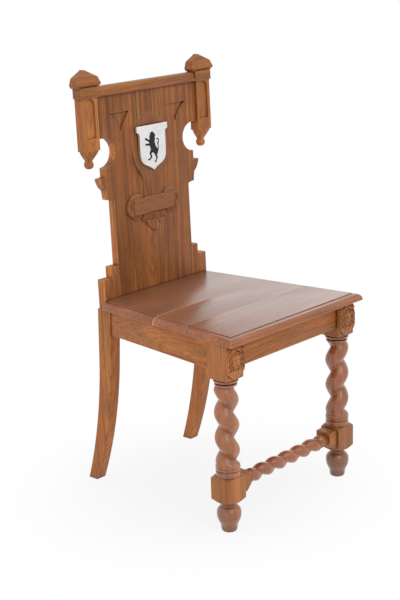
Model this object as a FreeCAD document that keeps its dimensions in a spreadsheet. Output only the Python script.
import FreeCAD, Part
import math
import os
import re
import Sketcher

# A joined hall chair: plank seat, twist-turned front legs and stretcher, and a carved panel back.
# Millimetres. Seen from the front, X runs to the right and Y to the back, and Z is up.
# The origin is on the floor, in the middle of the chair's width and depth.
# Left and right are as seen from the front.

os.makedirs("parts", exist_ok=True)
document = FreeCAD.newDocument("wainscot_chair")
sheet = document.addObject("Spreadsheet::Sheet", "Sizes")

sizes = {
    # seat
    "seatHeight": 450,
    "seatThick": 18,
    "seatFrontOverhang": 20.8,
    "seatSideOverhang": 7.6,
    "seatRearOverhang": 5.3,
    "seatMouldWidth": 17,
    "seatMouldRadius": 14,
    "seatFieldRise": 2,
    "frontBoardDepth": 144.3,
    "middleBoardDepth": 104,
    # seat rails
    "railHeight": 59,
    "railThick": 20,
    "frontRailInset": 8.2,
    "sideRailFrontInset": 0.5,
    "sideRailRearInset": 2,
    "rearRailThick": 24,
    "rearRailInset": 1,
    "tenonThick": 9,
    "tenonLength": 22,
    "rearTenonLength": 12,
    "tenonShoulder": 6,
    "tenonHaunch": 24,
    "tenonCheek": 5,
    # front legs
    "frontLegSpacing": 390.6,
    "blockSide": 55,
    "upperBlockDrop": 22,
    "lowerBlockBase": 72,
    "lowerBlockHeight": 58,
    "pommelDrop": 5,
    "footRadius": 15.5,
    "bulbRadius": 27,
    "collarRadius": 26.8,
    "collarHeight": 12,
    "collarGrooveRadius": 24.8,
    "collarGrooveHeight": 2.5,
    "grooveRadius": 21.3,
    "beadRadius": 27,
    "beadHeight": 12.5,
    "ringRadius": 22.7,
    "ringHeight": 4,
    "topBeadHeight": 18,
    "twistRadius": 27,
    "twistValley": 15.5,
    "leftTwistPitch": 57.2,
    "rightTwistPitch": 61.5,
    "leftTwistStart": 145,
    "rightTwistStart": 75,
    # front stretcher
    "stretcherHeight": 104.4,
    "stretcherBlockDeep": 41,
    "stretcherBlockHigh": 42,
    "stretcherBlockLong": 27,
    "stretcherCutLong": 14,
    "stretcherCutHigh": 13,
    "stretcherNeckLong": 11,
    "stretcherNeckRadius": 15,
    "stretcherTwistRadius": 17.3,
    "stretcherTwistValley": 10.1,
    "stretcherTwistPitch": 43.5,
    "stretcherTwistStart": 168,
    "stretcherTenonLength": 20,
    "stretcherTenonThick": 12,
    "stretcherTenonHigh": 26,
    # rear legs
    "rearLegOuter": 180.5,
    "rearLegThick": 31,
    "rearLegFront": 357.5,
    "rearLegDepth": 40.5,
    "kneeHeight": 295,
    "kneeLean": 8.9,
    "kneeDepth": 36,
    "footKick": 75.5,
    "footDepth": 27,
    "footTaper": 2.2,
    # back panel, measured up its own raked plane from seat level
    "backRake": 1.4,
    "backThick": 19,
    "pilasterTop": 463,
    "waistHalf": 124.2,
    "waistDrop": 238.5,
    "earDrop": 183,
    "earHalf": 163.6,
    "neckHalf": 146,
    "notchDrop": 128,
    "notchRadius": 34,
    "spandrelDepth": 5,
    "spandrelDrop": 41.5,
    "spandrelHeight": 43.5,
    "spandrelInner": 60,
    "spandrelOuter": 127,
    "spandrelTipAcross": 90.5,
    # wings at the foot of the back
    "wingThick": 22,
    "wingWidth": 47.8,
    "wingStepWidth": 20.8,
    "wingTop": 73.5,
    "wingLowTop": 48,
    # pilasters, their capitals, caps and drops
    "pilasterSpacing": 370,
    "pilasterWidth": 45,
    "pilasterProud": 6.5,
    "pilasterHeight": 117,
    "sunkWidth": 28,
    "sunkDepth": 5,
    "sunkDrop": 2,
    "sunkHeight": 87.5,
    "armTenonLength": 16,
    "armTenonDrop": 25,
    "armTenonHeight": 58,
    "capitalWidth": 52,
    "capitalProud": 8.5,
    "capitalHeight": 23,
    "capWidth": 70.7,
    "capProud": 9.5,
    "capBandHeight": 21,
    "capBeadHeight": 5.5,
    "capBeadInset": 4,
    "capFlare": 3.8,
    "capRoofHeight": 17,
    "capHip": 10,
    "dropNeckRadius": 8.3,
    "dropTopHalf": 19,
    "dropTopDepth": 20,
    "dropTaperHeight": 24,
    "dropKnobRadius": 10.8,
    "dropKnobHeight": 17,
    "dropLean": 4.5,
    "dropSpigotRadius": 6,
    "dropSpigotLength": 16,
    # crest rail
    "crestHeight": 21,
    "crestBeadHeight": 6,
    "crestProud": 8.5,
    "crestFaceProud": 7,
    "crestTopProud": 3,
    "crestShoulder": 5,
    "crestTenonLength": 9,
    # shield and its mount, which hang from the panel's top
    "mountProud": 5,
    "mountDrop": 49,
    "mountGableHalf": 52,
    "mountGableHeight": 24,
    "mountSideHalf": 57,
    "mountShoulderHeight": 58,
    "mountSideHeight": 19,
    "mountCurveHeight": 57,
    "mountStemHalf": 29,
    "mountStemHeight": 39,
    "shieldProud": 10.5,
    "shieldDrop": 32.5,
    "shieldHeight": 104.5,
    "shieldHalf": 42,
    "shieldEarHalf": 50.3,
    "shieldEarDrop": 21,
    "shieldRound": 39,
    "lionThick": 1.5,
    "lionDrop": 15.9,
    "lionHeight": 71.6,
    "lionWidth": 46,
    # scroll banner and leaf pendant
    "bannerProud": 8,
    "bannerHeight": 40,
    "bannerPlateHalf": 70,
    "bannerHalf": 90.5,
    "foldRise": 12,
    "foldDrop": 10,
    "foldInner": 36,
    "leafProud": 6,
    "leafHalf": 42,
    "leafHeight": 44,
    # carved masks on the front legs
    "maskDrop": 8,
    "maskHeight": 61,
    "maskDepth": 11,
    "corbelDrop": 12,
    "corbelHalf": 7,
    # fixings
    "dowelRadius": 5,
    "smallDowelRadius": 4,
    "dowelDepth": 20,
    "capDowelDepth": 18,
    "capDowelRise": 10,
    "fitClearance": 0.15,
    "backDowelSpacing": 88,
    "legDowelAcross": 160,
    "wingDowelLow": 8,
    "wingDowelHigh": 45,
    "cornerBlockReach": 60,
    "cornerBlockHeight": 30,
    "screwRadius": 2.2,
    "screwHeadRadius": 4.5,
    "screwHeadHeight": 3,
    "screwBite": 11,
    "overrun": 5,
}

for row, (name, value) in enumerate(sizes.items(), start=1):
    sheet.set(f"A{row}", name)
    sheet.set(f"B{row}", str(value))
    sheet.setAlias(f"B{row}", name)
document.recompute()

# Places that follow from the sizes
railTop = "(seatHeight - seatThick)"
railBottom = "(seatHeight - seatThick - railHeight)"
upperBlockBottom = "(seatHeight - seatThick - railHeight - upperBlockDrop)"
lowerBlockTop = "(lowerBlockBase + lowerBlockHeight)"
legHalf = "(frontLegSpacing / 2)"
blockHalf = "(blockSide / 2)"
blockInner = "(frontLegSpacing / 2 - blockSide / 2)"
blockOuter = "(frontLegSpacing / 2 + blockSide / 2)"
seatFront = "(-(blockSide / 2 + seatFrontOverhang))"
footBack = "(rearLegFront + footKick + footDepth)"
rearLegBack = "(rearLegFront + rearLegDepth)"
rearLegInner = "(rearLegOuter - rearLegThick)"
# the front legs stand on the line Y = 0 of the sketches, and the whole chair is centred in depth
centring = f"(-({footBack} + {seatFront}) / 2)"
# the panel's rear foot edge is flush with the rear legs, and its face is the seat's rear edge
backFoot = f"({rearLegBack} - backThick / cos(backRake))"
backLine = f"({backFoot} + seatThick * tan(backRake))"
seatBack = backFoot
railRear = f"({rearLegBack} - rearRailInset)"
railFore = f"({railRear} - rearRailThick)"
capitalTop = "(pilasterTop + capitalHeight)"
capBandTop = f"({capitalTop} + capBandHeight)"
capTop = f"({capBandTop} + capRoofHeight)"
pilasterHalf = "(pilasterSpacing / 2)"
pilasterInner = "(pilasterSpacing / 2 - pilasterWidth / 2)"
capitalInner = "(pilasterSpacing / 2 - capitalWidth / 2)"
sides = (("left", -1), ("right", 1))
# how closely two places must agree to count as the same
sheetFuzz = 1e-6

# Places that other pieces set; those of the back are measured up its own plane from seat level
carried = {
    "wingOuter": "(waistHalf + wingWidth)",
    "wingStep": "(waistHalf + wingStepWidth)",
    "waistTop": "(pilasterTop - waistDrop)",
    "earTop": "(pilasterTop - earDrop)",
    "notchHeight": "(pilasterTop - notchDrop)",
    "spandrelTop": "(pilasterTop - spandrelDrop)",
    "spandrelTip": "(spandrelTop - spandrelHeight)",
    "pilasterBottom": "(pilasterTop - pilasterHeight)",
    "sunkTop": "(pilasterTop - sunkDrop)",
    "sunkBottom": "(sunkTop - sunkHeight)",
    "armTenonTop": "(pilasterTop - armTenonDrop)",
    "armTenonBottom": "(armTenonTop - armTenonHeight)",
    "mountApex": "(pilasterTop - mountDrop)",
    "mountGableBottom": "(mountApex - mountGableHeight)",
    "mountSideTop": "(mountGableBottom - mountShoulderHeight)",
    "mountSideBottom": "(mountSideTop - mountSideHeight)",
    "mountStemTop": "(mountSideBottom - mountCurveHeight)",
    "bannerTop": "(mountStemTop - mountStemHeight)",
    "bannerBottom": "(bannerTop - bannerHeight)",
    "leafTip": "(bannerBottom - leafHeight)",
    "shieldTop": "(mountApex - shieldDrop)",
    "shieldTip": "(shieldTop - shieldHeight)",
    "lionTop": "(shieldTop - lionDrop)",
    "maskBase": f"({railTop} - maskDrop - maskHeight)",
}


# Helpers

def cell(word):
    if word[0] in carried:
        return bound(carried[word[0]])
    return f"Sizes.{word[0]}" if word[0] in sizes else word[0]


def bound(text):
    # an expression on the sheet's cells, with each carried place written out
    return re.sub(r"[A-Za-z]\w*", cell, str(text))


def number(text):
    return float(sheet.evalExpression(bound(text)))


def spot(x, y):
    return FreeCAD.Vector(number(x), number(y), 0)


def newBody(label):
    body = document.addObject("PartDesign::Body", label)
    body.Label = label
    return body


def newSketch(body, plane, offset="0"):
    sketch = body.newObject("Sketcher::SketchObject", f"{body.Label}_sketch")
    support = [item for item in body.Origin.OriginFeatures if item.Role == f"{plane}_Plane"][0]
    sketch.AttachmentSupport = (support, [""])
    sketch.MapMode = "FlatFace"
    sketch.setExpression("AttachmentOffset.Base.z", bound(offset))
    return sketch


def pin(sketch, geometry, vertex, x, y):
    # ties one vertex of a sketch to two expressions
    for kind, text in (("DistanceX", x), ("DistanceY", y)):
        constraint = sketch.addConstraint(Sketcher.Constraint(kind, -1, 1, geometry, vertex, number(text)))
        sketch.setExpression(f"Constraints[{constraint}]", bound(text))


def outline(sketch, points):
    # a closed outline through (x, y) points; ("via", x, y) makes the side that it lies on an arc
    corners = []
    for point in points:
        if point[0] == "via":
            corners[-1][1] = point[1:]
        else:
            corners.append([point, None])
    ends = []
    for index, (start, via) in enumerate(corners):
        finish = corners[(index + 1) % len(corners)][0]
        if via:
            edge = sketch.addGeometry(Part.Arc(spot(*start), spot(*via), spot(*finish)))
            middle = sketch.addGeometry(Part.Point(spot(*via)), True)
            pin(sketch, middle, 1, *via)
            sketch.addConstraint(Sketcher.Constraint("PointOnObject", middle, 1, edge))
        else:
            edge = sketch.addGeometry(Part.LineSegment(spot(*start), spot(*finish)))
        nearFirst = sketch.getPoint(edge, 1).distanceToPoint(spot(*start))
        nearSecond = sketch.getPoint(edge, 2).distanceToPoint(spot(*start))
        ends.append((edge, 1, 2) if nearFirst <= nearSecond else (edge, 2, 1))
    for index, (edge, first, last) in enumerate(ends):
        following = ends[(index + 1) % len(ends)]
        sketch.addConstraint(Sketcher.Constraint("Coincident", edge, last, following[0], following[1]))
        pin(sketch, edge, first, *corners[index][0])


def circle(sketch, x, y, radius):
    edge = sketch.addGeometry(Part.Circle(spot(x, y), FreeCAD.Vector(0, 0, 1), number(radius)))
    pin(sketch, edge, 3, x, y)
    constraint = sketch.addConstraint(Sketcher.Constraint("Radius", edge, number(radius)))
    sketch.setExpression(f"Constraints[{constraint}]", bound(radius))


def rectangle(x0, y0, x1, y1):
    return [(x0, y0), (x1, y0), (x1, y1), (x0, y1)]


def centred(width, depth):
    return rectangle(f"-{width} / 2", f"-{depth} / 2", f"{width} / 2", f"{depth} / 2")


def mirrored(points):
    # the right half of an outline, given from its foot up, with its left half added
    left = [(*point[:-2], f"-({point[-2]})", point[-1]) for point in reversed(points) if point[-2] != "0"]
    return points + left


def turned(side, points):
    # the same outline on the side where X is negative
    return [(*point[:-2], f"{side} * ({point[-2]})", point[-1]) for point in points]


def extrude(body, plane, shape, low, high, cut=False):
    # a pad or pocket between two places along the plane's axis; shape is points or (x, y, radius)
    # the XZ plane faces the front, so there its offset counts forwards
    start = f"-({high})" if plane == "XZ" else low
    sketch = newSketch(body, plane, start)
    if isinstance(shape, tuple):
        circle(sketch, *shape)
    else:
        outline(sketch, shape)
    kind = "Pocket" if cut else "Pad"
    feature = body.newObject(f"PartDesign::{kind}", f"{body.Label}_{kind}")
    feature.Profile = sketch
    feature.setExpression("Length", bound(f"({high}) - ({low})"))
    feature.Reversed = cut
    return feature


def turn(body, points, cut=False):
    # turned about the body's own Z axis: each point is (radius, height)
    sketch = newSketch(body, "XZ")
    outline(sketch, points)
    kind = "Groove" if cut else "Revolution"
    feature = body.newObject(f"PartDesign::{kind}", f"{body.Label}_{kind}")
    feature.Profile = sketch
    feature.ReferenceAxis = (sketch, ["V_Axis"])
    feature.Angle = 360
    return feature


def place(item, x="0", y="0", z="0"):
    item.setExpression("Placement.Base.x", bound(x))
    item.setExpression("Placement.Base.y", bound(f"{centring} + {y}"))
    item.setExpression("Placement.Base.z", bound(z))
    return item


def onBack(y, z):
    # where a point of the raked back lies in the chair's own depth and height
    return (
        f"{backLine} + ({y}) * cos(backRake) + ({z}) * sin(backRake)",
        f"seatHeight + ({z}) * cos(backRake) - ({y}) * sin(backRake)",
    )


def placeOnBack(item, across="0", depth="0"):
    # leans the piece back with the panel, about the seat's rear edge
    place(item, across, *onBack(depth, "0"))
    item.Placement.Rotation = FreeCAD.Rotation(FreeCAD.Vector(-1, 0, 0), number("backRake"))
    item.setExpression("Placement.Rotation.Angle", bound("backRake"))
    return item


def footCut(body, half):
    # trims a raked piece level with the top of the rails
    level = "((thickness * sin(backRake) - seatThick) / cos(backRake))"
    front = "-overrun"
    rear = "(wingThick + overrun)"
    deep = "-(seatThick + 4 * overrun)"
    points = [
        (front, level.replace("thickness", front)),
        (rear, level.replace("thickness", rear)),
        (rear, deep),
        (front, deep),
    ]
    extrude(body, "YZ", points, f"-({half} + overrun)", f"{half} + overrun", cut=True)


def rod(label, radius, length, x, y, z, along="Z", raked=False):
    # a straight round pin of its own, or the tool that bores its hole
    item = document.addObject("Part::Cylinder", label)
    item.Label = label
    item.setExpression("Radius", bound(radius))
    item.setExpression("Height", bound(length))
    turnOver = {
        "Z": FreeCAD.Rotation(),
        "X": FreeCAD.Rotation(FreeCAD.Vector(0, 1, 0), 90),
    }[along]
    if raked:
        lean = FreeCAD.Rotation(FreeCAD.Vector(-1, 0, 0), number("backRake"))
        item.Placement = FreeCAD.Placement(FreeCAD.Vector(), lean * turnOver)
        return place(item, x, *onBack(y, z))
    item.Placement = FreeCAD.Placement(FreeCAD.Vector(), turnOver)
    return place(item, x, y, z)


def group(label, items):
    # several like solids kept as one node
    item = document.addObject("Part::Compound", label)
    item.Label = label
    item.Links = items
    return item


def bored(label, base, tools):
    # the piece with its round holes cut by the given tools
    item = document.addObject("Part::Cut", label)
    item.Label = label
    item.Base = base
    item.Tool = group(f"{label}_bores", tools) if len(tools) > 1 else tools[0]
    return item


# Seat: three boards cut from one moulded blank

def seatHalf(y):
    front = f"({blockOuter} + seatSideOverhang)"
    rear = "(rearLegOuter + seatRearOverhang)"
    return f"({front} + ({rear} - {front}) * (({y}) - {seatFront}) / ({seatBack} - {seatFront}))"


def seatPlan(inset, y0, y1):
    return [
        (f"-({seatHalf(y0)} - {inset})", y0),
        (f"{seatHalf(y0)} - {inset}", y0),
        (f"{seatHalf(y1)} - {inset}", y1),
        (f"-({seatHalf(y1)} - {inset})", y1),
    ]


def seatBlank():
    body = newBody("seat_blank")
    edgeTop = "(seatHeight - seatFieldRise)"
    slab = extrude(body, "XY", seatPlan("0", seatFront, seatBack), railTop, edgeTop)
    document.recompute()
    top = slab.Shape.BoundBox.ZMax
    rear = slab.Shape.BoundBox.YMax
    moulded = []
    for index, edge in enumerate(slab.Shape.Edges, start=1):
        box = edge.BoundBox
        atTop = math.isclose(box.ZMin, top, rel_tol=sheetFuzz)
        atRear = math.isclose(box.YMin, rear, rel_tol=sheetFuzz)
        if atTop and not atRear:
            moulded.append(f"Edge{index}")
    rounding = body.newObject("PartDesign::Fillet", "seat_moulding")
    rounding.Base = (slab, moulded)
    rounding.setExpression("Radius", bound("seatMouldRadius"))
    field = seatPlan("seatMouldWidth", f"({seatFront} + seatMouldWidth)", seatBack)
    extrude(body, "XY", field, edgeTop, "seatHeight")
    for x, y in screwPlaces():
        for side in (-1, 1):
            hole = (f"{side} * {x}", y, "screwRadius + fitClearance")
            extrude(body, "XY", hole, railTop, f"{railTop} + screwBite + fitClearance", cut=True)
    return place(body)


def seatBoard(label, blank, y0, y1):
    slab = document.addObject("Part::Box", f"{label}_slab")
    width = f"2 * ({blockOuter} + seatSideOverhang + overrun)"
    slab.setExpression("Length", bound(width))
    slab.setExpression("Width", bound(f"({y1}) - ({y0})"))
    slab.setExpression("Height", bound("seatThick + 2 * overrun"))
    place(slab, f"-({width}) / 2", y0, f"{railTop} - overrun")
    board = document.addObject("Part::Common", label)
    board.Label = label
    board.Base = blank
    board.Tool = slab
    return board


# Seat frame

def sideRailOuter(y):
    front = f"({blockOuter} - sideRailFrontInset)"
    rear = "(rearLegOuter - sideRailRearInset)"
    return f"({front} + ({rear} - {front}) * (({y}) - {blockHalf}) / (rearLegFront - {blockHalf}))"


def sideRailInner(y):
    return f"({sideRailOuter(y)} - railThick)"


def rearLegFace(z):
    # the rear leg's front face, which leans back below the seat
    return f"(rearLegFront + kneeLean * ({railTop} - ({z})) / ({railTop} - kneeHeight))"


tenonLow = f"({railBottom} + tenonShoulder)"
tenonHigh = f"({railTop} - tenonHaunch)"
frontRailFace = f"(frontRailInset - {blockHalf})"
rearTenonFace = f"({railFore} + (rearRailThick - tenonThick) / 2)"


def frontRailTenon(fromInside="overrun"):
    cheek = f"{frontRailFace} + tenonCheek"
    return rectangle(
        f"{blockInner} - {fromInside}", cheek, f"{blockInner} + tenonLength", f"{cheek} + tenonThick"
    )


def sideRailFrontTenon():
    outer = f"({sideRailOuter(blockHalf)} - tenonCheek)"
    return rectangle(f"{outer} - tenonThick", f"{blockHalf} - tenonLength", outer, f"{blockHalf} + overrun")


def sideRailRearTenon():
    outer = f"({sideRailOuter('rearLegFront')} - tenonCheek)"
    return rectangle(f"{outer} - tenonThick", "rearLegFront - overrun", outer, "rearLegFront + tenonLength")


def rearRailTenon():
    return rectangle(
        f"{rearLegInner} - overrun",
        rearTenonFace,
        f"{rearLegInner} + rearTenonLength",
        f"{rearTenonFace} + tenonThick",
    )


def shifted(points, x):
    # the same plan seen from a body that stands at this X
    return [(*point[:-2], f"({point[-2]}) - {x}", point[-1]) for point in points]


def frontRail():
    body = newBody("front_rail")
    plan = rectangle(f"-{blockInner}", frontRailFace, blockInner, f"{frontRailFace} + railThick")
    extrude(body, "XY", plan, railBottom, railTop)
    for _, side in sides:
        extrude(body, "XY", turned(side, frontRailTenon()), tenonLow, tenonHigh)
    return place(body)


def rearRail():
    body = newBody("rear_rail_blank")
    plan = rectangle(f"-{rearLegInner}", railFore, rearLegInner, railRear)
    extrude(body, "XY", plan, railBottom, railTop)
    for _, side in sides:
        extrude(body, "XY", turned(side, rearRailTenon()), tenonLow, tenonHigh)
    place(body)
    return bored("rear_rail", body, railDowels("rear_rail_bore", "fitClearance"))


def sideRail(name, side):
    body = newBody(f"side_rail_{name}")
    reach = rearLegFace(railBottom)
    plan = [
        (sideRailInner(blockHalf), blockHalf),
        (sideRailOuter(blockHalf), blockHalf),
        (sideRailOuter(reach), reach),
        (sideRailInner(reach), reach),
    ]
    extrude(body, "XY", turned(side, plan), railBottom, railTop)
    above = f"({railTop} + overrun)"
    below = f"({railBottom} - overrun)"
    behind = f"({reach} + overrun)"
    shoulder = [(rearLegFace(above), above), (rearLegFace(below), below), (behind, below), (behind, above)]
    extrude(body, "YZ", shoulder, f"-{blockOuter}", blockOuter, cut=True)
    extrude(body, "XY", turned(side, sideRailFrontTenon()), tenonLow, tenonHigh)
    extrude(body, "XY", turned(side, sideRailRearTenon()), tenonLow, tenonHigh)
    return place(body)


def cornerPlan(end):
    # an L-notched block in the corner of two rails, round the leg; its plan and its screw's place
    if end == "front":
        railFace = f"({frontRailFace} + railThick)"
        legSide, legFace, onward = blockInner, blockHalf, "cornerBlockReach"
    else:
        railFace = railFore
        legSide, legFace, onward = rearLegInner, "rearLegFront", "-cornerBlockReach"
    along = f"({legFace} + {onward})"
    far = (f"({legSide} - cornerBlockReach)", railFace)
    near = (sideRailInner(along), along)
    plan = [
        far,
        (legSide, railFace),
        (legSide, legFace),
        (sideRailInner(legFace), legFace),
        near,
    ]
    screw = (
        f"(({far[0]} + {near[0]}) / 4 + {legSide} / 2)",
        f"(({far[1]} + {near[1]}) / 4 + {legFace} / 2)",
    )
    return plan, screw


def screwPlaces():
    return [cornerPlan(end)[1] for end in ("front", "rear")]


def cornerBlock(end, name, side):
    body = newBody(f"corner_block_{end}_{name}")
    plan, (x, y) = cornerPlan(end)
    low = f"({railTop} - cornerBlockHeight)"
    extrude(body, "XY", turned(side, plan), low, railTop)
    shank = (f"{side} * {x}", y, "screwRadius + fitClearance")
    head = (f"{side} * {x}", y, "screwHeadRadius + fitClearance")
    extrude(body, "XY", shank, low, railTop, cut=True)
    extrude(body, "XY", head, low, f"{low} + screwHeadHeight + fitClearance", cut=True)
    return place(body)


def seatScrew(end, name, side):
    body = newBody(f"seat_screw_{end}_{name}")
    x, y = cornerPlan(end)[1]
    low = f"({railTop} - cornerBlockHeight)"
    tip = f"({railTop} + screwBite)"
    turn(body, [
        ("0", low),
        ("screwHeadRadius", low),
        ("screwHeadRadius", f"{low} + screwHeadHeight"),
        ("screwRadius", f"{low} + screwHeadHeight"),
        ("screwRadius", f"{tip} - 2 * screwRadius"),
        ("0", tip),
    ])
    return place(body, f"{side} * {x}", y)


# Legs and stretcher

def twist(body, radius, valley, pitch, start, low, high, leftHand):
    # a round rod whose centre winds round the axis: one start, like a rope of one strand
    throw = f"(({radius} - {valley}) / 2)"
    profile = newSketch(body, "XY", low)
    circle(profile, f"{throw} * cos({start})", f"{throw} * sin({start})", f"({radius} + {valley}) / 2")
    spine = newSketch(body, "XZ")
    line = spine.addGeometry(Part.LineSegment(spot("0", low), spot("0", high)))
    pin(spine, line, 1, "0", low)
    pin(spine, line, 2, "0", high)
    guide = document.addObject("Part::Helix", f"{body.Label}_guide")
    guide.LocalCoord = "Left-handed" if leftHand else "Right-handed"
    guide.setExpression("Pitch", bound(pitch))
    guide.setExpression("Height", bound(f"({high}) - ({low})"))
    guide.setExpression("Radius", bound(radius))
    guide.setExpression("Placement.Base.z", bound(low))
    document.recompute()
    pipe = body.newObject("PartDesign::AdditivePipe", f"{body.Label}_twist")
    pipe.Profile = profile
    pipe.Spine = (spine, ["Edge1"])
    pipe.Mode = "Auxiliary"
    pipe.AuxiliarySpine = (guide, ["Edge1"])


def pommel(body, half, drop, level, upward):
    # the turner's shoulder: a cone that takes the corners off a square block at its end
    corner = f"({half} * sqrt(2) + overrun)"
    slope = f"({drop} * ({corner} - {half}) / ({half} * (sqrt(2) - 1)))"
    into = f"({level} - {slope})" if upward else f"({level} + {slope})"
    turn(body, [(half, level), (corner, level), (corner, into)], cut=True)


# radius as a share of the bulb's, and height as a share of the turned foot's
footShares = (
    (0.63, 0.137, False),
    (0.87, 0.348, True),
    (1.0, 0.591, False),
    (0.93, 0.75, True),
    (0.63, 0.855, False),
    (0.72, 0.96, True),
    (0.9, 1.0, False),
)


def footOutline():
    points = [("0", "0"), ("footRadius", "0")]
    for radiusShare, heightShare, onArc in footShares:
        place = (f"{radiusShare} * bulbRadius", f"{heightShare} * lowerBlockBase")
        points.append(("via", *place) if onArc else place)
    return [*points, ("0", "lowerBlockBase")]


# the straight core that runs inside a twist, as a share of the twist's least radius
coreShare = 0.75
collarTop = f"({lowerBlockTop} + collarHeight)"
beadBase = f"({collarTop} + collarGrooveHeight)"
twistLow = f"({beadBase} + beadHeight)"
topBeadBase = f"({upperBlockBottom} - topBeadHeight)"
twistHigh = f"({topBeadBase} - ringHeight)"


def columnOutline():
    return [
        ("0", lowerBlockTop),
        ("collarRadius", lowerBlockTop),
        ("collarRadius", collarTop),
        ("collarGrooveRadius", collarTop),
        ("collarGrooveRadius", beadBase),
        ("via", "beadRadius", f"{beadBase} + beadHeight / 2"),
        ("collarGrooveRadius", twistLow),
        (f"{coreShare} * twistValley", twistLow),
        (f"{coreShare} * twistValley", twistHigh),
        ("ringRadius", twistHigh),
        ("ringRadius", topBeadBase),
        ("via", "beadRadius", f"{topBeadBase} + topBeadHeight / 2"),
        ("grooveRadius", upperBlockBottom),
        ("0", upperBlockBottom),
    ]


def frontLeg(name, side):
    body = newBody(f"front_leg_{name}")
    square = centred("blockSide", "blockSide")
    extrude(body, "XY", square, "lowerBlockBase", lowerBlockTop)
    turn(body, footOutline())
    turn(body, columnOutline())
    extrude(body, "XY", square, upperBlockBottom, railTop)
    pommel(body, blockHalf, "pommelDrop", "lowerBlockBase", upward=False)
    pommel(body, blockHalf, "pommelDrop", lowerBlockTop, upward=True)
    for tenon in (frontRailTenon(), sideRailFrontTenon()):
        plan = turned(side, shifted(tenon, legHalf))
        extrude(body, "XY", plan, tenonLow, tenonHigh, cut=True)
    cheek = "(stretcherTenonThick / 2)"
    mortise = rectangle(
        f"{blockInner} - overrun", f"-{cheek}", f"{blockInner} + stretcherTenonLength", cheek
    )
    low = "stretcherHeight - stretcherTenonHigh / 2"
    high = "stretcherHeight + stretcherTenonHigh / 2"
    extrude(body, "XY", turned(side, shifted(mortise, legHalf)), low, high, cut=True)
    pitch = f"{name}TwistPitch"
    start = f"{name}TwistStart"
    twist(body, "twistRadius", "twistValley", pitch, start, twistLow, twistHigh, leftHand=side < 0)
    return place(body, f"{side} * {legHalf}")


# how far along the sweep the foot has moved back, and how far down it lies
sweepAcrossShare = 0.285
sweepHeightShare = 0.54


def rearLeg(name, side):
    body = newBody(f"rear_leg_{name}_blank")
    kneeFront = "(rearLegFront + kneeLean)"
    kneeRear = f"({kneeFront} + kneeDepth)"
    footFront = "(rearLegFront + footKick)"
    sweep = f"{sweepHeightShare} * kneeHeight"
    profile = [
        ("rearLegFront", railTop),
        (kneeFront, "kneeHeight"),
        ("via", f"{kneeFront} + {sweepAcrossShare} * ({footFront} - {kneeFront})", sweep),
        (footFront, "0"),
        (footBack, "0"),
        ("via", f"{kneeRear} + {sweepAcrossShare} * ({footBack} - {kneeRear})", sweep),
        (kneeRear, "kneeHeight"),
        (rearLegBack, railTop),
    ]
    inner = f"({side} * {rearLegInner})"
    outer = f"({side} * rearLegOuter)"
    low, high = (outer, inner) if side < 0 else (inner, outer)
    extrude(body, "YZ", profile, low, high)
    depth = ("rearLegFront - overrun", f"{footBack} + overrun")
    for face, away in ((rearLegInner, -1), ("rearLegOuter", 1)):
        wedge = [
            (face, "kneeHeight"),
            (f"{face} - {away} * footTaper", "0"),
            (f"{face} + {away} * overrun", "0"),
            (f"{face} + {away} * overrun", "kneeHeight"),
        ]
        extrude(body, "XZ", turned(side, wedge), *depth, cut=True)
    for tenon in (sideRailRearTenon(), rearRailTenon()):
        extrude(body, "XY", turned(side, tenon), tenonLow, tenonHigh, cut=True)
    place(body)
    bore = backDowel(f"rear_leg_{name}_bore", f"{side} * legDowelAcross", "fitClearance")
    return bored(f"rear_leg_{name}", body, [bore])


def frontStretcher():
    # built upright about its own axis, then laid along X
    body = newBody("front_stretcher")
    half = blockInner
    blockEnd = f"({blockInner} - stretcherBlockLong)"
    twistEnd = f"({blockEnd} - stretcherNeckLong)"
    shoulder = "(stretcherBlockDeep / 2)"
    turn(body, [
        ("0", f"-{half}"),
        ("stretcherNeckRadius", f"-{half}"),
        ("stretcherNeckRadius", f"-{blockEnd}"),
        ("stretcherNeckRadius", f"-{twistEnd}"),
        (f"{coreShare} * stretcherTwistValley", f"-{twistEnd}"),
        (f"{coreShare} * stretcherTwistValley", twistEnd),
        ("stretcherNeckRadius", twistEnd),
        ("stretcherNeckRadius", blockEnd),
        ("stretcherNeckRadius", half),
        ("0", half),
    ])
    section = centred("stretcherBlockHigh", "stretcherBlockDeep")
    tenon = centred("stretcherTenonHigh", "stretcherTenonThick")
    extrude(body, "XY", section, f"-{half}", f"-{blockEnd}")
    extrude(body, "XY", section, blockEnd, half)
    extrude(body, "XY", tenon, f"-({half} + stretcherTenonLength)", f"-{half}")
    extrude(body, "XY", tenon, half, f"{half} + stretcherTenonLength")
    # the body's X axis points down once the stretcher is laid along the chair
    below = "(stretcherBlockHigh / 2)"
    for end, outward in ((blockEnd, "1"), (f"-{blockEnd}", "-1")):
        corner = [
            (f"{below} - stretcherCutHigh", end),
            (f"{below} + overrun", end),
            (f"{below} + overrun", f"{end} + {outward} * stretcherCutLong"),
            (below, f"{end} + {outward} * stretcherCutLong"),
        ]
        extrude(body, "XZ", corner, f"-({shoulder} + overrun)", f"{shoulder} + overrun", cut=True)
        # the neck's round runs on into the block over the cut
        cutEnd = f"{end} + {outward} * stretcherCutLong"
        neck = [("0", end), ("stretcherNeckRadius", end), ("stretcherNeckRadius", cutEnd), ("0", cutEnd)]
        turn(body, neck)
    twist(
        body,
        "stretcherTwistRadius",
        "stretcherTwistValley",
        "stretcherTwistPitch",
        "stretcherTwistStart",
        f"-{twistEnd}",
        twistEnd,
        leftHand=False,
    )
    body.Placement.Rotation = FreeCAD.Rotation(FreeCAD.Vector(0, 1, 0), 90)
    return place(body, z="stretcherHeight")


# Back

railDowelPlaces = ("-backDowelSpacing", "0", "backDowelSpacing")
dowelDepthInBack = "(backThick / 2)"


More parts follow.
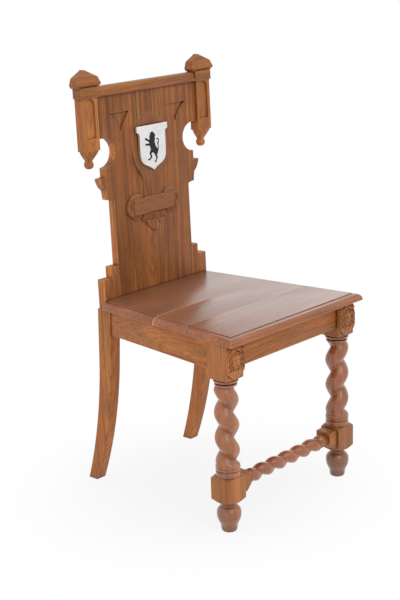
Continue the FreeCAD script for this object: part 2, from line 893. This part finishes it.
def backDowel(label, x, slack="0"):
    # a dowel, or its bore, between the foot of the back and what it stands on
    middle = f"({dowelDepthInBack} * sin(backRake) - seatThick) / cos(backRake)"
    return rod(
        label,
        f"dowelRadius + {slack}",
        f"2 * (dowelDepth + {slack})",
        x,
        dowelDepthInBack,
        f"{middle} - dowelDepth - {slack}",
        raked=True,
    )


def railDowels(label, slack="0"):
    return [backDowel(f"{label}_{index}", x, slack) for index, x in enumerate(railDowelPlaces)]


def wingDowels(label, side, slack="0"):
    # the dowels, or their bores, between a wing and the panel's edge
    reach = f"(dowelDepth + {slack})"
    return [
        rod(
            f"{label}_{level}",
            f"smallDowelRadius + {slack}",
            f"2 * {reach}",
            f"{side} * waistHalf - {reach}",
            dowelDepthInBack,
            f"wingDowel{level}",
            along="X",
            raked=True,
        )
        for level in ("Low", "High")
    ]


# where the hollow side of a sunk spandrel bows, as shares of its run outwards and upwards
spandrelBowShares = (0.38, 0.54)
# the panel's ear, as shares of its width and height from the waist to its tip
earShares = (
    (0.17, 0.045, False),
    (0.49, 0.07, False),
    (0.565, 0.46, False),
    (0.78, 0.61, True),
    (1.0, 0.98, False),
)


def backPanel():
    body = newBody("back_panel_blank")
    foot = "-(seatThick + 2 * overrun)"
    half = [("waistHalf", foot), ("waistHalf", "waistTop")]
    for across, up, onArc in earShares:
        point = (f"waistHalf + {across} * (earHalf - waistHalf)", f"waistTop + {up} * (earTop - waistTop)")
        half.append(("via", *point) if onArc else point)
    half += [
        ("neckHalf", "earTop"),
        ("neckHalf", "notchHeight - notchRadius"),
        ("via", "neckHalf - notchRadius", "notchHeight"),
        ("neckHalf", "notchHeight + notchRadius"),
        (pilasterInner, "notchHeight + notchRadius"),
        (pilasterInner, "pilasterTop"),
    ]
    extrude(body, "XZ", mirrored(half), "0", "backThick")
    footCut(body, "waistHalf")
    for _, side in sides:
        spandrel = [
            ("spandrelTipAcross", "spandrelTip"),
            (
                "via",
                f"spandrelTipAcross + {spandrelBowShares[0]} * (spandrelOuter - spandrelTipAcross)",
                f"spandrelTip + {spandrelBowShares[1]} * (spandrelTop - spandrelTip)",
            ),
            ("spandrelOuter", "spandrelTop"),
            ("spandrelInner", "spandrelTop"),
        ]
        extrude(body, "XZ", turned(side, spandrel), "-overrun", "spandrelDepth", cut=True)
        extrude(body, "XZ", turned(side, armTenon()), *armTenonThickness)
    placeOnBack(body)
    bores = railDowels("panel_foot_bore", "fitClearance")
    for name, side in sides:
        bores += wingDowels(f"panel_wing_bore_{name}", side, "fitClearance")
    return bored("back_panel", body, bores)


armTenonThickness = ("(backThick - tenonThick) / 2", "(backThick + tenonThick) / 2")


def armTenon():
    return rectangle(
        f"{pilasterInner} - overrun", "armTenonBottom", f"{pilasterInner} + armTenonLength", "armTenonTop"
    )


def backWing(name, side):
    body = newBody(f"back_wing_{name}_blank")
    foot = "-(seatThick + 2 * overrun)"
    profile = [
        ("waistHalf", foot),
        ("wingOuter", foot),
        ("wingOuter", "wingLowTop"),
        ("wingStep", "wingLowTop"),
        ("wingStep", "wingTop"),
        ("waistHalf", "wingTop"),
    ]
    extrude(body, "XZ", turned(side, profile), "0", "wingThick")
    footCut(body, "wingOuter")
    placeOnBack(body)
    bores = [backDowel(f"wing_foot_bore_{name}", f"{side} * legDowelAcross", "fitClearance")]
    bores += wingDowels(f"wing_bore_{name}", side, "fitClearance")
    return bored(f"back_wing_{name}", body, bores)


capDowelY = "((sunkDepth - pilasterProud + backThick) / 2)"
knobY = "((backThick - pilasterProud) / 2 + dropLean)"
capDowelLow = "(pilasterTop - capDowelDepth)"
capDowelHigh = f"({capitalTop} + capDowelRise)"


def pilaster(name, side):
    body = newBody(f"pilaster_{name}")
    half = "(pilasterWidth / 2)"
    face = rectangle(f"-{half}", "pilasterBottom", half, "pilasterTop")
    extrude(body, "XZ", face, "-pilasterProud", "backThick")
    sunkHalf = "(sunkWidth / 2)"
    sunk = [
        (f"-{sunkHalf}", "sunkBottom"),
        (sunkHalf, "sunkBottom"),
        (sunkHalf, f"sunkTop - {sunkHalf}"),
        ("via", "0", "sunkTop"),
        (f"-{sunkHalf}", f"sunkTop - {sunkHalf}"),
    ]
    extrude(body, "XZ", sunk, "-(pilasterProud + overrun)", "sunkDepth - pilasterProud", cut=True)
    mortise = turned(side, shifted(armTenon(), pilasterHalf))
    extrude(body, "XZ", mortise, *armTenonThickness, cut=True)
    upper = ("0", capDowelY, "dowelRadius + fitClearance")
    extrude(body, "XY", upper, f"{capDowelLow} - fitClearance", "pilasterTop", cut=True)
    lower = ("0", knobY, "dropSpigotRadius + fitClearance")
    spigotTop = "(pilasterBottom + dropSpigotLength + fitClearance)"
    extrude(body, "XY", lower, "pilasterBottom", spigotTop, cut=True)
    return placeOnBack(body, f"{side} * {pilasterHalf}")


crestTenonLow = "(pilasterTop + crestShoulder)"
crestTenonHigh = "(pilasterTop + crestHeight - crestShoulder)"


def crestTenon():
    return rectangle(
        f"{capitalInner} - overrun", crestTenonLow, f"{capitalInner} + crestTenonLength", crestTenonHigh
    )


def crestRail():
    body = newBody("crest_rail")
    top = "(pilasterTop + crestHeight)"
    section = [
        ("-crestFaceProud", "pilasterTop"),
        ("via", "-crestProud", "pilasterTop + crestBeadHeight / 2"),
        ("-crestFaceProud", "pilasterTop + crestBeadHeight"),
        ("-crestTopProud", top),
        ("backThick", top),
        ("backThick", "pilasterTop"),
    ]
    extrude(body, "YZ", section, f"-{capitalInner}", capitalInner)
    for _, side in sides:
        extrude(body, "XZ", turned(side, crestTenon()), *armTenonThickness)
    return placeOnBack(body)


def pilasterCapital(name, side):
    body = newBody(f"pilaster_capital_{name}")
    face = rectangle("-capitalWidth / 2", "pilasterTop", "capitalWidth / 2", capitalTop)
    extrude(body, "XZ", face, "-capitalProud", "backThick")
    mortise = turned(side, shifted(crestTenon(), pilasterHalf))
    extrude(body, "XZ", mortise, *armTenonThickness, cut=True)
    bore = ("0", capDowelY, "dowelRadius + fitClearance")
    extrude(body, "XY", bore, "pilasterTop", capitalTop, cut=True)
    return placeOnBack(body, f"{side} * {pilasterHalf}")


# where the cap's roof breaks, as shares of its half width and of its height
roofShares = (0.81, 0.25)


def pilasterCap(name, side):
    body = newBody(f"pilaster_cap_{name}")
    half = "(capWidth / 2)"
    bead = f"({half} - capBeadInset)"
    beadTop = f"({capitalTop} + capBeadHeight)"
    foot = rectangle(f"-{bead}", capitalTop, bead, beadTop)
    extrude(body, "XZ", foot, "capBeadInset - capProud", "backThick")
    eave = f"({half} - capFlare)"
    gable = [
        (half, beadTop),
        (eave, capBandTop),
        (f"{roofShares[0]} * {eave}", f"{capBandTop} + {roofShares[1]} * capRoofHeight"),
        ("0", capTop),
    ]
    extrude(body, "XZ", mirrored(gable), "-capProud", "backThick")
    hip = [
        ("-capProud", beadTop),
        ("capFlare - capProud", capBandTop),
        ("capFlare + capHip - capProud", capTop),
        ("capFlare + capHip - capProud", f"{capTop} + overrun"),
        ("-(capProud + overrun)", f"{capTop} + overrun"),
        ("-(capProud + overrun)", beadTop),
    ]
    extrude(body, "YZ", hip, f"-({half} + overrun)", f"{half} + overrun", cut=True)
    bore = ("0", capDowelY, "dowelRadius + fitClearance")
    extrude(body, "XY", bore, capitalTop, f"{capDowelHigh} + fitClearance", cut=True)
    return placeOnBack(body, f"{side} * {pilasterHalf}")


def loft(body, plane, sections):
    # a smooth solid through like outlines; each section is (points, place along the plane's axis)
    sketches = []
    for points, level in sections:
        sketch = newSketch(body, plane, f"-({level})" if plane == "XZ" else level)
        outline(sketch, points)
        sketches.append(sketch)
    feature = body.newObject("PartDesign::AdditiveLoft", f"{body.Label}_loft")
    feature.Profile = sketches[0]
    feature.Sections = sketches[1:]
    return feature


# how wide the knob is where it leaves the neck, as a share of the neck
knobSeatShare = 0.8


def dropPendant(name, side):
    body = newBody(f"drop_pendant_{name}")
    neckLevel = "(pilasterBottom - dropTaperHeight)"
    # half width, front and rear from the knob's middle, and height
    levels = (
        ("dropTopHalf", "dropTopDepth / 2 + dropLean", "dropTopDepth / 2 - dropLean", "pilasterBottom"),
        (
            "(dropTopHalf + 2 * dropNeckRadius) / 3",
            "(dropTopDepth / 2 + dropNeckRadius + dropLean) / 2",
            "(dropTopDepth / 2 + dropNeckRadius - dropLean) / 2",
            f"(pilasterBottom + {neckLevel}) / 2",
        ),
        ("dropNeckRadius", "dropNeckRadius", "dropNeckRadius", neckLevel),
    )
    sections = [(rectangle(f"-({x})", f"-({front})", x, rear), z) for x, front, rear, z in levels]
    loft(body, "XY", sections)
    turn(body, [
        ("0", f"{neckLevel} - dropKnobHeight"),
        ("via", "dropKnobRadius", f"{neckLevel} - dropKnobHeight / 2"),
        (f"{knobSeatShare} * dropNeckRadius", neckLevel),
        ("0", neckLevel),
    ])
    spigot = ("0", "0", "dropSpigotRadius")
    extrude(body, "XY", spigot, "pilasterBottom", "pilasterBottom + dropSpigotLength")
    return placeOnBack(body, f"{side} * {pilasterHalf}", knobY)


# where the mount's lower curve bows, as shares of its run outwards and upwards
mountBowShares = (0.45, 0.4)
# where each side of its gable bows, as shares of the gable's half width and of its height
gableBowShares = (0.6, 0.6)


def shieldMount():
    body = newBody("shield_mount")
    half = [
        ("mountStemHalf", "bannerTop"),
        ("mountStemHalf", "mountStemTop"),
        (
            "via",
            f"mountStemHalf + {mountBowShares[0]} * (mountSideHalf - mountStemHalf)",
            f"mountStemTop + {mountBowShares[1]} * (mountSideBottom - mountStemTop)",
        ),
        ("mountSideHalf", "mountSideBottom"),
        ("mountSideHalf", "mountSideTop"),
        ("mountGableHalf", "mountGableBottom"),
        (
            "via",
            f"{gableBowShares[0]} * mountGableHalf",
            f"mountGableBottom + {gableBowShares[1]} * mountGableHeight",
        ),
        ("0", "mountApex"),
    ]
    extrude(body, "XZ", mirrored(half), "-mountProud", "0")
    return placeOnBack(body)


# the shield's lower half, as shares of its half width and of the height from its tip to the straight sides
shieldShares = (
    (0.27, 0.18, False),
    (0.74, 0.42, False),
    (0.95, 0.68, True),
    (1.0, 1.0, False),
)


def shield():
    body = newBody("shield")
    half = [("0", "shieldTip")]
    for across, up, onArc in shieldShares:
        point = (f"{across} * shieldHalf", f"shieldTip + {up} * shieldRound")
        half.append(("via", *point) if onArc else point)
    half += [
        ("shieldHalf", "shieldTop - shieldEarDrop"),
        ("shieldEarHalf", "shieldTop - shieldEarDrop + (shieldEarHalf - shieldHalf) / 2"),
        ("shieldEarHalf", "shieldTop"),
    ]
    extrude(body, "XZ", mirrored(half), "-shieldProud", "-mountProud")
    return placeOnBack(body)


# a lion standing on its hind legs, its forepaws raised to the left; shares of its width and height
lionShares = (
    (0.46, 1.00), (0.60, 0.98), (0.71, 0.89), (0.72, 0.76), (0.69, 0.57), (0.77, 0.45), (0.85, 0.53),
    (0.87, 0.60), (0.93, 0.67), (0.89, 0.71), (0.82, 0.70), (0.91, 0.75), (0.98, 0.72), (0.99, 0.65),
    (0.92, 0.58), (0.86, 0.38), (0.77, 0.28), (0.69, 0.20), (0.81, 0.12), (0.73, 0.01), (0.60, 0.02),
    (0.69, 0.08), (0.57, 0.17), (0.55, 0.27), (0.48, 0.29), (0.40, 0.21), (0.43, 0.15), (0.30, 0.09),
    (0.18, 0.10), (0.33, 0.17), (0.29, 0.24), (0.38, 0.35), (0.31, 0.47), (0.29, 0.55), (0.05, 0.59),
    (0.05, 0.63), (0.29, 0.64), (0.19, 0.73), (0.02, 0.78), (0.05, 0.83), (0.31, 0.74), (0.28, 0.84),
    (0.34, 0.93),
)


def shieldLion():
    body = newBody("shield_lion")
    points = []
    for across, up in lionShares:
        points.append((f"({across} - 1 / 2) * lionWidth", f"lionTop - (1 - {up}) * lionHeight"))
    extrude(body, "XZ", points, "-(shieldProud + lionThick)", "-shieldProud")
    return placeOnBack(body)


def scrollBanner():
    body = newBody("scroll_banner")
    half = [
        ("foldInner", "bannerBottom"),
        ("foldInner + foldDrop", "bannerBottom - foldDrop"),
        ("bannerPlateHalf", "bannerBottom - foldDrop / 4"),
        ("via", "bannerHalf", "(bannerTop + bannerBottom) / 2"),
        ("bannerPlateHalf + foldDrop", "bannerTop"),
        ("bannerPlateHalf + foldDrop / 2", "bannerTop + foldRise * 3 / 4"),
        ("(foldInner + bannerPlateHalf) / 2", "bannerTop + foldRise"),
        ("foldInner", "bannerTop + foldRise / 2"),
        ("foldInner", "bannerTop"),
    ]
    extrude(body, "XZ", mirrored(half), "-bannerProud", "0")
    return placeOnBack(body)


# the leaf drop's edge, as shares of its half width and of its height from tip to root
leafShares = ((0.24, 0.11), (0.58, 0.32), (0.70, 0.57), (1.0, 0.66), (0.82, 0.84), (0.82, 1.0))


def leafPendant():
    body = newBody("leaf_pendant")
    half = [("0", "leafTip")]
    for across, up in leafShares:
        half.append((f"{across} * leafHalf", f"leafTip + {up} * (bannerBottom - leafTip)"))
    extrude(body, "XZ", mirrored(half), "-leafProud", "0")
    return placeOnBack(body)


# the carved head's sections: share of its depth, of its half width, and its foot and crown in height
maskShares = (
    (0, 0.98, 0.0, 1.0),
    (0.45, 0.95, 0.03, 0.97),
    (0.85, 0.78, 0.12, 0.88),
    (1.0, 0.45, 0.28, 0.7),
)
# round one section: shares of its half width and of its height, up from the beard to the crown
jawShares = (0.84, 0.17)
templeShares = (1.0, 0.6)
browShares = (0.82, 0.93)
# how far the corbel under the head stands out, as a share of the head's depth
corbelShare = 0.6


def mask(name, side):
    body = newBody(f"mask_{name}")
    sections = []
    for depthShare, widthShare, footShare, crownShare in maskShares:
        half = f"({widthShare} * {blockHalf})"
        foot = f"(maskBase + {footShare} * maskHeight)"
        crown = f"(maskBase + {crownShare} * maskHeight)"
        jaw, temple, brow = [
            (f"{across} * {half}", f"{foot} + {up} * ({crown} - {foot})")
            for across, up in (jawShares, templeShares, browShares)
        ]
        ring = [("0", foot), ("via", *jaw), temple, ("via", *brow), ("0", crown)]
        sections.append((mirrored(ring), f"-({blockHalf} + {depthShare} * maskDepth)"))
    loft(body, "XZ", sections)
    corbel = [
        (f"-{blockHalf}", "maskBase - corbelDrop"),
        (f"-({blockHalf} + {corbelShare} * maskDepth)", "maskBase + corbelDrop / 2"),
        (f"-{blockHalf}", "maskBase + corbelDrop / 2"),
    ]
    extrude(body, "YZ", corbel, "-corbelHalf", "corbelHalf")
    return place(body, f"{side} * {legHalf}")


# The whole chair, piece by piece

blank = seatBlank()
frontJoint = f"({seatFront} + frontBoardDepth)"
middleJoint = f"({frontJoint} + middleBoardDepth)"
pieces = [
    seatBoard("seat_board_front", blank, f"{seatFront} - overrun", frontJoint),
    seatBoard("seat_board_middle", blank, frontJoint, middleJoint),
    seatBoard("seat_board_rear", blank, middleJoint, f"{seatBack} + overrun"),
    frontRail(),
    rearRail(),
    frontStretcher(),
    backPanel(),
    crestRail(),
    shieldMount(),
    shield(),
    shieldLion(),
    scrollBanner(),
    leafPendant(),
]
for name, side in sides:
    pieces += [
        frontLeg(name, side),
        rearLeg(name, side),
        sideRail(name, side),
        cornerBlock("front", name, side),
        cornerBlock("rear", name, side),
        backWing(name, side),
        pilaster(name, side),
        pilasterCapital(name, side),
        pilasterCap(name, side),
        dropPendant(name, side),
        mask(name, side),
    ]

footDowels = railDowels("back_dowel")
edgeDowels = []
capDowels = []
screws = []
for name, side in sides:
    footDowels.append(backDowel(f"leg_dowel_{name}", f"{side} * legDowelAcross"))
    edgeDowels += wingDowels(f"wing_dowel_{name}", side)
    capDowels.append(rod(
        f"cap_dowel_{name}",
        "dowelRadius",
        f"{capDowelHigh} - {capDowelLow}",
        f"{side} * {pilasterHalf}",
        capDowelY,
        capDowelLow,
        raked=True,
    ))
    for end in ("front", "rear"):
        screws.append(seatScrew(end, name, side))
pieces += [
    group("back_dowels", footDowels),
    group("wing_dowels", edgeDowels),
    group("cap_dowels", capDowels),
    group("seat_screws", screws),
]

document.recompute()
for item in document.Objects:
    if "Invalid" in item.State or "Error" in item.State:
        raise RuntimeError(f"{item.Label} failed: {item.State}")
for piece in pieces:
    if piece.Shape.isNull() or not piece.Shape.isValid():
        raise RuntimeError(f"{piece.Label} has no valid shape")
for piece in pieces:
    piece.Shape.exportStep(f"parts/{piece.Label}.step")
    print(piece.Label, len(piece.Shape.Solids), round(piece.Shape.Volume))
